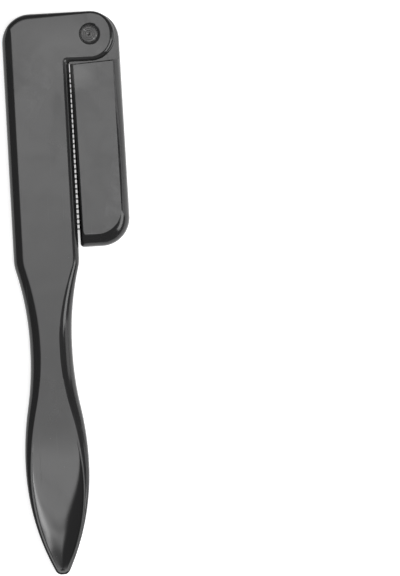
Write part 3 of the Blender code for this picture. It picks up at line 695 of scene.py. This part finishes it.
# Colours and skin of the gloss black plastic
PLASTIC_DARK = (0.012, 0.012, 0.0125, 1.0)
PLASTIC_LIGHT = (0.017, 0.017, 0.0175, 1.0)
PLASTIC_WORN = (0.034, 0.034, 0.035, 1.0)
SCRATCH_COLOUR = (0.07, 0.07, 0.07, 1.0)
SCRATCH_COVER = 0.25
DUST_COLOUR = (0.06, 0.058, 0.056, 1.0)
# Painted highlight: how much of its pale patch is at full strength, and how far it covers the
# colour
PAINTED_SHEEN_CORE = 0.8
PAINTED_SHEEN_COVER = 0.8
CLEAN_ROUGHNESS = 0.11
SMUDGED_ROUGHNESS = 0.17
SCRATCH_ADDS_ROUGHNESS = 0.12
DUST_ADDS_ROUGHNESS = 0.5
SWELL_HEIGHT = 0.06 * MM
SCRATCH_DEPTH = 0.004 * MM


def gloss_black(name, pattern_shift, smudge_scale, sheen_place, sheen_reach, sheen_tone):
    """Gloss black moulded plastic: near-black body, polished skin, hairlines, smudges and dust.
    A painted highlight is a faint pale patch of lighter colour that stands in for a brighter
    reflection."""
    material, tree, shader, on_piece = start_material(name)
    shader.inputs["IOR"].default_value = 1.5
    place = add_node(tree, "ShaderNodeMapping", {}, Vector=on_piece,
                     Location=(pattern_shift, 0.0, 0.0)).outputs[0]
    flow = add_node(tree, "ShaderNodeGroup", {"node_tree": swells}, Place=place)
    mark = add_node(tree, "ShaderNodeGroup", {"node_tree": marks}, Place=place,
                    Smudge_Scale=smudge_scale)
    rub = add_node(tree, "ShaderNodeGroup", {"node_tree": rubbed}, Place=place)

    body = mixed(tree, flow.outputs["Height"], PLASTIC_DARK, PLASTIC_LIGHT)
    worn = mixed(tree, rub.outputs["Rub"], body, PLASTIC_WORN)
    scratch_cover = maths(tree, "MULTIPLY", mark.outputs["Scratches"], SCRATCH_COVER)
    scratched = mixed(tree, scratch_cover, worn, SCRATCH_COLOUR)
    dusty = mixed(tree, mark.outputs["Dust"], scratched, DUST_COLOUR)
    # Painted highlight: a faint pale patch of lighter colour where the face should mirror more
    # light
    spread = add_node(tree, "ShaderNodeMapping", {"vector_type": "TEXTURE"}, Vector=on_piece,
                      Location=sheen_place, Scale=sheen_reach)
    ball = add_node(tree, "ShaderNodeTexGradient", {"gradient_type": "SPHERICAL"},
                    Vector=spread.outputs[0])
    sheen_patch = ramp(tree, ball.outputs["Fac"], 0.0, PAINTED_SHEEN_CORE, 0.0, 1.0)
    sheened = mixed(tree, maths(tree, "MULTIPLY", sheen_patch, PAINTED_SHEEN_COVER), dusty,
                    (sheen_tone, sheen_tone, sheen_tone, 1.0))
    tree.links.new(sheened, shader.inputs["Base Color"])

    roughness = ramp(tree, mark.outputs["Smudges"], 0.0, 1.0, CLEAN_ROUGHNESS, SMUDGED_ROUGHNESS)
    for label, share in (("Scratches", SCRATCH_ADDS_ROUGHNESS), ("Dust", DUST_ADDS_ROUGHNESS)):
        added = maths(tree, "MULTIPLY", mark.outputs[label], share)
        roughness = maths(tree, "ADD", roughness, added)
    tree.links.new(roughness, shader.inputs["Roughness"])

    slow = add_node(tree, "ShaderNodeBump", {}, Height=flow.outputs["Height"],
                    Strength=0.5, Distance=SWELL_HEIGHT)
    hairlines = add_node(tree, "ShaderNodeBump", {"invert": True}, Height=mark.outputs["Scratches"],
                         Strength=0.2, Distance=SCRATCH_DEPTH, Normal=slow.outputs[0])
    tree.links.new(hairlines.outputs[0], shader.inputs["Normal"])
    return material


HANDLE_SMUDGE_SCALE = 130.0
# Painted highlight on the head's face near the ear, lighter colour standing in for a brighter
# reflection
EAR_PAINTED_SHEEN_PLACE = HANDLE_PLACE + Vector((5.0 * MM, -8.0 * MM, HALF))
EAR_PAINTED_SHEEN_REACH = (12.0 * MM, 7.0 * MM, 4.0 * MM)
EAR_PAINTED_SHEEN_TONE = 0.045
handle.data.materials.append(gloss_black("handle_gloss_black", 0.0, HANDLE_SMUDGE_SCALE,
                                         EAR_PAINTED_SHEEN_PLACE, EAR_PAINTED_SHEEN_REACH, EAR_PAINTED_SHEEN_TONE))
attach(handle, "handle_body")
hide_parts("handle")

# The rivet is a blackened steel pin that joins ear and tongue. Each end is a flat turned head set
# in a counterbore; the front head shows the lathe's rings and a centre dimple.

RIVET_HEAD_CROWN = 0.2 * MM
RIVET_DIMPLE_RADIUS = 0.35 * MM
RIVET_DIMPLE_DEPTH = 0.2 * MM
RIVET_RING_RADII = (1.62 * MM, 1.2 * MM, 0.8 * MM)
RIVET_RING_HALF = 0.05 * MM
RIVET_RING_DEPTH = 0.012 * MM
CROWN_STEPS = 4
TURNED_SHARP_ANGLE = 40.0

head_top = HALF - RIVET_RECESS
head_under = head_top - RIVET_HEAD_THICKNESS


def rivet_head(shift, dimpled):
    """Front half of a head's profile, from under its rim to the middle of its face."""
    profile = [(RIVET_HEAD_RADIUS, head_under, shift)]
    for step in range(CROWN_STEPS + 1):
        turn = math.pi / 2 * step / CROWN_STEPS
        profile.append((RIVET_HEAD_RADIUS - RIVET_HEAD_CROWN * (1 - math.cos(turn)),
                        head_top - RIVET_HEAD_CROWN * (1 - math.sin(turn)), shift))
    for radius in RIVET_RING_RADII:
        profile.append((radius + RIVET_RING_HALF, head_top, shift))
        profile.append((radius, head_top - RIVET_RING_DEPTH, shift))
        profile.append((radius - RIVET_RING_HALF, head_top, shift))
    if dimpled:
        profile.append((RIVET_DIMPLE_RADIUS + RIVET_RING_HALF, head_top, shift))
        profile.append((RIVET_DIMPLE_RADIUS, head_top - RIVET_RING_DEPTH / 2, shift))
        profile.append((0.0, head_top - RIVET_DIMPLE_DEPTH, shift))
    else:
        profile.append((0.0, head_top, shift))
    return profile


shank = [(RIVET_RADIUS, head_under, 0.0)]
back_half = mirrored(shank + rivet_head(0.0, False))
front_half = shank + rivet_head(-RIVET_HEAD_OFFSET, True)
rivet_mesh = turned_mesh("hinge_rivet", back_half + front_half, ROUND_SIDES, pivot_at)
rivet = add_object("hinge_rivet", rivet_mesh)
shade_curves(rivet, TURNED_SHARP_ANGLE)

OXIDE_DARK = (0.04, 0.04, 0.041, 1.0)
OXIDE_LIGHT = (0.062, 0.061, 0.06, 1.0)
BARE_STEEL = (0.2, 0.2, 0.2, 1.0)
LATHE_MARK_DEPTH = 0.004 * MM
blackened, tree, shader, place = start_material("blackened_steel")
shader.inputs["Metallic"].default_value = 0.75
mark = add_node(tree, "ShaderNodeGroup", {"node_tree": marks}, Place=place, Scratch_Scale=2400.0,
                Smudge_Scale=900.0, Dust_Scale=3000.0)
rub = add_node(tree, "ShaderNodeGroup", {"node_tree": rubbed}, Place=place, Patch_Scale=1800.0)
centred = add_node(tree, "ShaderNodeMapping", {}, Vector=place,
                   Location=(RIVET_HEAD_OFFSET - PIVOT_PLACE.x, -PIVOT_PLACE.y, 0.0))
turning = add_node(tree, "ShaderNodeTexWave", {"wave_type": "RINGS", "rings_direction": "Z"},
                   Vector=centred.outputs[0], Scale=2600.0, Distortion=0.6, Detail=2.0,
                   Detail_Scale=1.5)
oxide = mixed(tree, noise(tree, place, 1300.0, Detail=3.0), OXIDE_DARK, OXIDE_LIGHT)
tree.links.new(mixed(tree, rub.outputs["Rub"], oxide, BARE_STEEL), shader.inputs["Base Color"])
roughness = ramp(tree, mark.outputs["Smudges"], 0.0, 1.0, 0.24, 0.36)
tree.links.new(roughness, shader.inputs["Roughness"])
lathe = add_node(tree, "ShaderNodeBump", {}, Height=turning.outputs["Fac"],
                 Strength=0.12, Distance=LATHE_MARK_DEPTH)
tree.links.new(lathe.outputs[0], shader.inputs["Normal"])
rivet.data.materials.append(blackened)
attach(rivet, "handle_body")
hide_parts("pivot_rivet")

# The swing arm is a second gloss black moulding. A thin tongue turns on the rivet inside the ear's
# slot, and the full-thickness panel below it is moulded round the needles' roots.

ARM_OUTER_CORNER_RADIUS = 6.1 * MM
ARM_INNER_CORNER_RADIUS = 0.8 * MM
ARM_INNER_EDGE = 0.7 * MM
ARM_OUTER_EDGE = 1.6 * MM
ARM_END_EDGE = 2.6 * MM
ARM_FACE_CORNER_RADIUS = 5.4 * MM
ARM_SIDE_BROAD_TILT = math.radians(58.0)
ARM_SIDE_CREASE_TILT = math.radians(50.0)
ARM_SIDE_BLEND = math.radians(45.0)
ARM_CLOSED_ANGLE = math.radians(0.35)
SHOULDER_CHAMFER = 0.2 * MM
SHOULDER_TILT = math.radians(3.0)
SHOULDER_LEFT_Y = SHOULDER_Y / math.cos(SHOULDER_TILT) + ARM_LEFT * math.tan(SHOULDER_TILT)
TONGUE_THICKNESS = 2.0 * MM
TONGUE_END_DROP = 1.25 * MM
TONGUE_SIDE_STEP = 1.0 * MM
TONGUE_LEFT = ARM_LEFT - TONGUE_SIDE_STEP
TONGUE_STEP_RISE = 0.08 * MM
TONGUE_STEP_Y = SHOULDER_LEFT_Y + TONGUE_STEP_RISE
NEEDLE_ROOT = 3.5 * MM
NEEDLE_BORE_GAP = 0.04 * MM
NEEDLE_SIDES = 20
INNER_CORNER_STEPS = 16
BOTTOM_STEPS = 5
OUTER_CORNER_STEPS = 26
SIDE_STEPS = 40
TONGUE_END_STEPS = 48

arm_at = pivot_at @ Matrix.Rotation(ARM_CLOSED_ANGLE, 4, "Z")


def spaced(start, end, steps):
    """Points between two places, both left out."""
    return [tuple(Vector(start).lerp(Vector(end), step / steps)) for step in range(1, steps)]


def round_points(x, y, radius, start, end, steps):
    """Points on an arc, both ends kept."""
    angles = [math.radians(start + (end - start) * step / steps) for step in range(steps + 1)]
    return [(x + radius * math.cos(angle), y + radius * math.sin(angle)) for angle in angles]


def arm_outline(left, right, end, inner_radius, outer_radius, tongue_left):
    """Outline of the arm in its own plane, anticlockwise from the lower corner by the needles to
    the full round that ends the tongue, and down to the step where tongue and panel meet."""
    inner_x = left + inner_radius
    outer_x = right - outer_radius
    middle = (tongue_left + right) / 2
    tongue_radius = (right - tongue_left) / 2
    points = round_points(inner_x, end + inner_radius, inner_radius, 180.0, 270.0,
                          INNER_CORNER_STEPS)
    points += spaced(points[-1], (outer_x, end), BOTTOM_STEPS)
    points += round_points(outer_x, end + outer_radius, outer_radius, 270.0, 360.0,
                           OUTER_CORNER_STEPS)
    points += spaced(points[-1], (right, -TONGUE_END_DROP), SIDE_STEPS)
    points += round_points(middle, -TONGUE_END_DROP, tongue_radius, 0.0, 180.0, TONGUE_END_STEPS)
    points += [(tongue_left, TONGUE_STEP_Y), (left, TONGUE_STEP_Y)]
    points += spaced(points[-1], points[0], SIDE_STEPS)
    return points


bm = bmesh.new()
outer = arm_outline(ARM_LEFT, ARM_RIGHT, ARM_END_Y, ARM_INNER_CORNER_RADIUS,
                    ARM_OUTER_CORNER_RADIUS, TONGUE_LEFT)
face = arm_outline(ARM_LEFT + ARM_INNER_EDGE, ARM_RIGHT - ARM_OUTER_EDGE,
                   ARM_END_Y + ARM_END_EDGE, ARM_INNER_EDGE, ARM_FACE_CORNER_RADIUS,
                   TONGUE_LEFT + ARM_INNER_EDGE)
sections = []
for wall_point, face_point in zip(outer, face):
    inward = (Vector(face_point) - Vector(wall_point)).normalized()
    turn = math.atan2(abs(inward.y), -inward.x)
    steep = ease(1 - turn / ARM_SIDE_BLEND)
    tight = ease(-TIGHT_FILLET_BLEND * inward.x)
    sections.append(rounded_edge(between(CREASE_FILLET, TIGHT_FILLET, tight),
                                 between(BROAD_TILT, ARM_SIDE_BROAD_TILT, steep),
                                 between(CREASE_TILT, ARM_SIDE_CREASE_TILT, steep)))
rings = edge_rings(bm, outer, face, sections)
bm.faces.new([ring[0] for ring in rings])
bm.faces.new([ring[-1] for ring in rings])
arm = add_object("comb_arm_moulding", finish_mesh("comb_arm_moulding", bm, arm_at))

# Relief above the shoulder, front and back, that leaves the tongue
low_x = TONGUE_LEFT - CUT_MARGIN
high_x = ARM_RIGHT + CUT_MARGIN
top_y = ARM_WIDTH + CUT_MARGIN
flare = SHOULDER_CHAMFER + CUT_MARGIN
relief_section = [(top_y, TONGUE_THICKNESS / 2), (SHOULDER_Y, TONGUE_THICKNESS / 2),
                  (SHOULDER_Y, HALF - SHOULDER_CHAMFER), (SHOULDER_Y - flare, above_face),
                  (top_y, above_face)]
bm = bmesh.new()
for side in (-1.0, 1.0):
    add_prism(bm, [(low_x, y, side * z) for y, z in relief_section],
              [(high_x, y, side * z) for y, z in relief_section])
relief = finish_mesh("tongue_relief", bm, arm_at @ Matrix.Rotation(SHOULDER_TILT, 4, "Z"))

# Blind bores round the roots of the needles
bm = bmesh.new()
bore_radius = NEEDLE_DIAMETER / 2 + NEEDLE_BORE_GAP
bore_mouth = ARM_LEFT - CUT_MARGIN
bore_floor = ARM_LEFT + NEEDLE_ROOT + NEEDLE_BORE_GAP
for number in range(NEEDLE_COUNT):
    height = FIRST_NEEDLE_Y - number * NEEDLE_PITCH
    ring = round_points(height, 0.0, bore_radius, 0.0, 360.0, NEEDLE_SIDES)[:-1]
    add_prism(bm, [(bore_mouth, y, z) for y, z in ring], [(bore_floor, y, z) for y, z in ring])
needle_bores = finish_mesh("needle_bores", bm, arm_at)
bore_half = [(bore, HALF, 0.0), (0.0, HALF, 0.0)]
pivot_bore = turned_mesh("pivot_bore", mirrored(bore_half) + bore_half, ROUND_SIDES, arm_at)
cut_and_smooth(arm, [relief, pivot_bore, needle_bores])

ARM_PATTERN_SHIFT = 0.37
ARM_SMUDGE_SCALE = 170.0
# Painted highlight on the arm's face near the shoulder, lighter colour standing in for a brighter
# reflection
SHOULDER_PAINTED_SHEEN_PLACE = HANDLE_PLACE + Vector((9.1 * MM, -13.0 * MM, HALF))
SHOULDER_PAINTED_SHEEN_REACH = (5.5 * MM, 4.5 * MM, 4.0 * MM)
SHOULDER_PAINTED_SHEEN_TONE = 0.08
arm.data.materials.append(gloss_black("arm_gloss_black", ARM_PATTERN_SHIFT, ARM_SMUDGE_SCALE,
                                      SHOULDER_PAINTED_SHEEN_PLACE, SHOULDER_PAINTED_SHEEN_REACH,
                                      SHOULDER_PAINTED_SHEEN_TONE))
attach(arm, "comb_body")
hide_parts("comb_arm")

# The needles are hard steel wire, ground to a point and polished, with their roots moulded into the
# arm's inner edge. Closed, they cross the narrow gap and hide in the head's slot.

NEEDLE_POINT_LENGTH = 1.6 * MM
NEEDLE_TIP_DIAMETER = 0.14 * MM
POINT_STEPS = 10
POINT_FULLNESS = 0.25
POINT_END_TURNS = (30.0, 60.0)

needle_length = NEEDLE_ROOT + NEEDLE_REACH
shaft_radius = NEEDLE_DIAMETER / 2
tip_radius = NEEDLE_TIP_DIAMETER / 2
needle_profile = [(0.0, 0.0, 0.0), (shaft_radius, 0.0, 0.0), (shaft_radius, NEEDLE_ROOT, 0.0)]
for step in range(POINT_STEPS + 1):
    share = step / POINT_STEPS
    full = (1 - share) + POINT_FULLNESS * share * (1 - share)
    needle_profile.append((between(tip_radius, shaft_radius, full),
                           needle_length - tip_radius - NEEDLE_POINT_LENGTH * (1 - share), 0.0))
for degrees in POINT_END_TURNS:
    turn = math.radians(degrees)
    needle_profile.append((tip_radius * math.cos(turn),
                           needle_length - tip_radius * (1 - math.sin(turn)), 0.0))
needle_profile.append((0.0, needle_length, 0.0))

# Painted shade: both steel tones are darker than bare steel and stand in for the shade of the
# narrow slot the needles lie in; the grinding lines between the two tones are the steel's own
STEEL_DARK_PAINTED_SHADE = (0.16, 0.16, 0.158, 1.0)
STEEL_LIGHT_PAINTED_SHADE = (0.3, 0.3, 0.295, 1.0)
GRIND_STRETCH = (0.04, 1.0, 1.0)
GRIND_DEPTH = 0.003 * MM
polished, tree, shader, place = start_material("steel_with_painted_shade")
shader.inputs["Metallic"].default_value = 1.0
mark = add_node(tree, "ShaderNodeGroup", {"node_tree": marks}, Place=place, Scratch_Scale=5000.0,
                Smudge_Scale=600.0, Dust_Scale=4000.0)
drawn = add_node(tree, "ShaderNodeMapping", {}, Vector=place, Scale=GRIND_STRETCH)
grind = noise(tree, drawn.outputs[0], 16000.0, Detail=2.0)
tree.links.new(mixed(tree, grind, STEEL_DARK_PAINTED_SHADE, STEEL_LIGHT_PAINTED_SHADE), shader.inputs["Base Color"])
roughness = ramp(tree, mark.outputs["Smudges"], 0.0, 1.0, 0.2, 0.32)
tree.links.new(roughness, shader.inputs["Roughness"])
lines = add_node(tree, "ShaderNodeBump", {}, Height=grind, Strength=0.3, Distance=GRIND_DEPTH)
tree.links.new(lines.outputs[0], shader.inputs["Normal"])

for number in range(1, NEEDLE_COUNT + 1):
    root = Vector((ARM_LEFT + NEEDLE_ROOT, FIRST_NEEDLE_Y - (number - 1) * NEEDLE_PITCH, 0.0))
    needle_at = arm_at @ Matrix.Translation(root) @ Matrix.Rotation(-math.pi / 2, 4, "Y")
    name = f"steel_needle_{number:02d}"
    needle = add_object(name, turned_mesh(name, needle_profile, NEEDLE_SIDES, needle_at))
    shade_curves(needle, TURNED_SHARP_ANGLE)
    needle.data.materials.append(polished)
    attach(needle, "comb_body")
    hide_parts(f"needle_{number:02d}")

# The floor is a plain sheet of white paper. A large soft box overhead fades towards the tip and
# the left, a strip beside it lights the right-hand edges, and two side boxes stand low on the
# right. The camera looks straight down on the front face, as the photograph does.

FLOOR_HALF = 3.0
FLOOR_DROP = 0.2 * MM
PAPER_DARK = (0.82, 0.82, 0.82, 1.0)
PAPER_LIGHT = (0.86, 0.86, 0.86, 1.0)
CONTACT_REACH = 3.0 * MM
CONTACT_GLOW = 0.58
OPEN_GLOW = 0.8

bm = bmesh.new()
corners = [bm.verts.new((x * FLOOR_HALF, y * FLOOR_HALF, -FLOOR_DROP))
           for x, y in ((-1, -1), (1, -1), (1, 1), (-1, 1))]
bm.faces.new(corners)
floor = add_object("white_floor", finish_mesh("white_floor", bm))

paper, tree, shader, place = start_material("white_paper")
shader.inputs["Roughness"].default_value = 0.9
shader.inputs["Specular IOR Level"].default_value = 0.1
fibre = noise(tree, place, 900.0, Detail=3.0)
tree.links.new(mixed(tree, fibre, PAPER_DARK, PAPER_LIGHT), shader.inputs["Base Color"])

# The paper glows for the camera and in reflections, but less beside the comb, in its shadow
path = tree.nodes.new("ShaderNodeLightPath")
seen = maths(tree, "MAXIMUM", path.outputs["Is Camera Ray"], path.outputs["Is Glossy Ray"])
seen = maths(tree, "MAXIMUM", seen, path.outputs["Is Transmission Ray"])
sky = add_node(tree, "ShaderNodeAmbientOcclusion", {}, Distance=CONTACT_REACH).outputs["AO"]
strength = maths(tree, "MULTIPLY", seen, ramp(tree, sky, 0.0, 1.0, CONTACT_GLOW, OPEN_GLOW))
glow = add_node(tree, "ShaderNodeEmission", {}, Color=(1.0, 1.0, 1.0, 1.0), Strength=strength)
lit = add_node(tree, "ShaderNodeAddShader", {}, _0=shader.outputs[0], _1=glow.outputs[0])
tree.links.new(lit.outputs[0], tree.nodes["Material Output"].inputs["Surface"])
floor.data.materials.append(paper)

# Stops of the graded lamps: degrees from straight up, and a share of the radiance
LAMP_DISTANCE = 1.5
SOFT_BOX_ACROSS = [(-16, 0), (-12, 0.36), (-9, 0.88), (-6, 1), (24, 1), (28, 0.5), (32, 0)]
SOFT_BOX_ALONG = [(-26, 0), (-18, 0.4), (-12, 1), (-4.4, 1), (-3.2, 0.8), (-1.8, 0.55),
                  (-0.6, 0.55), (0.3, 0.73), (1.4, 0.9), (2, 0.97), (3.8, 0.92), (5.9, 0.63),
                  (7.5, 0.42), (9, 0.22), (10.5, 0.05), (12, 0)]
SOFT_BOX_RADIANCE = 3.6
STRIP_ACROSS = [(8, 0), (17, 0.07), (21, 0.13), (24, 0.25), (26, 0.5), (28, 0.8), (30, 1),
                (33, 1), (35, 0.6), (38, 0.25), (42, 0.1), (46, 0)]
STRIP_ALONG = [(-18, 0), (-12, 1), (4, 1), (8, 0.8), (10.5, 0.5), (12, 0.1), (14, 0)]
STRIP_RADIANCE = 8.5
# The strip hangs a little above the box. At the same height they would hide each other
STRIP_RAISE = 1.04


def area_lamp(name, width, depth, radiance):
    """A flat rectangular light, which the camera itself doesn't see."""
    lamp = bpy.data.lights.new(name, "AREA")
    lamp.shape = "RECTANGLE"
    lamp.size = width
    lamp.size_y = depth
    lamp.energy = radiance * math.pi * lamp.size * lamp.size_y
    panel = add_object(name, lamp)
    panel.visible_camera = False
    return panel


def slanted_panel(name, azimuth, zenith, half_width, half_height, radiance):
    """A flat soft light that faces the comb from the side, its place and half sizes in degrees."""
    turn = math.radians(azimuth)
    tip = math.radians(zenith)
    out = math.sin(tip)
    towards = Vector((out * math.cos(turn), out * math.sin(turn), math.cos(tip)))
    width, depth = (2 * LAMP_DISTANCE * math.tan(math.radians(half))
                    for half in (half_width, half_height))
    panel = area_lamp(name, width, depth, radiance)
    panel.location = towards * LAMP_DISTANCE
    panel.rotation_euler = towards.to_track_quat("Z", "Y").to_euler()


def graded_panel(name, height, across, along, radiance):
    """A flat soft light overhead that fades from stop to stop, across in X and along in Y."""
    x0, x1 = (height * math.tan(math.radians(across[end][0])) for end in (0, -1))
    y0, y1 = (height * math.tan(math.radians(along[end][0])) for end in (0, -1))
    panel = area_lamp(name, x1 - x0, y1 - y0, radiance)
    panel.location = ((x0 + x1) / 2, (y0 + y1) / 2, height)
    panel.data.use_nodes = True
    tree = panel.data.node_tree
    place = add_node(tree, "ShaderNodeSeparateXYZ", {},
                     Vector=tree.nodes.new("ShaderNodeNewGeometry").outputs["Parametric"])
    shares = []
    for axis, low, high, stops in (("X", x0, x1, across), ("Y", y0, y1, along)):
        fade = add_node(tree, "ShaderNodeValToRGB", {}, Fac=place.outputs[axis])
        elements = fade.color_ramp.elements
        while len(elements) < len(stops):
            elements.new(0.5)
        for element, (angle, share) in zip(elements, stops):
            element.position = (height * math.tan(math.radians(angle)) - low) / (high - low)
            element.color = (share, share, share, 1.0)
        shares.append(fade.outputs["Color"])
    tree.links.new(maths(tree, "MULTIPLY", *shares), tree.nodes["Emission"].inputs["Strength"])


graded_panel("soft_box", LAMP_DISTANCE, SOFT_BOX_ACROSS, SOFT_BOX_ALONG, SOFT_BOX_RADIANCE)
graded_panel("bright_strip", LAMP_DISTANCE * STRIP_RAISE, STRIP_ACROSS, STRIP_ALONG, STRIP_RADIANCE)
slanted_panel("side_box", azimuth=-25.0, zenith=62.5, half_width=17.0, half_height=9.0,
              radiance=4.2)
slanted_panel("low_side_box", azimuth=-2.0, zenith=79.0, half_width=7.0, half_height=9.0,
              radiance=1.4)

ROOM_GREY = (0.24, 0.24, 0.24, 1.0)
world = bpy.data.worlds.new("studio")
bpy.context.scene.world = world
world.use_nodes = True
world.node_tree.nodes["Background"].inputs["Color"].default_value = ROOM_GREY

# The photograph shows the comb in the left half of its frame, turned 3 degrees
MM_PER_PIXEL = 0.2137
PHOTO_HEIGHT = 576
CAMERA_HEIGHT = 2.0
CAMERA_X = HANDLE_PLACE.x + 32.49 * MM
CAMERA_Y = -0.40 * MM
CAMERA_TURN = math.radians(-3.07)
camera_data = bpy.data.cameras.new("overhead_camera")
camera_data.sensor_width = 36.0
view_height = PHOTO_HEIGHT * MM_PER_PIXEL * MM
camera_data.lens = camera_data.sensor_width * (CAMERA_HEIGHT - THICKNESS) / view_height
camera_data.clip_end = 10.0
camera = add_object("overhead_camera", camera_data)
camera.location = (CAMERA_X, CAMERA_Y, CAMERA_HEIGHT)
camera.rotation_euler = (0.0, 0.0, CAMERA_TURN)
bpy.context.scene.camera = camera
bpy.context.scene.view_settings.view_transform = "Standard"
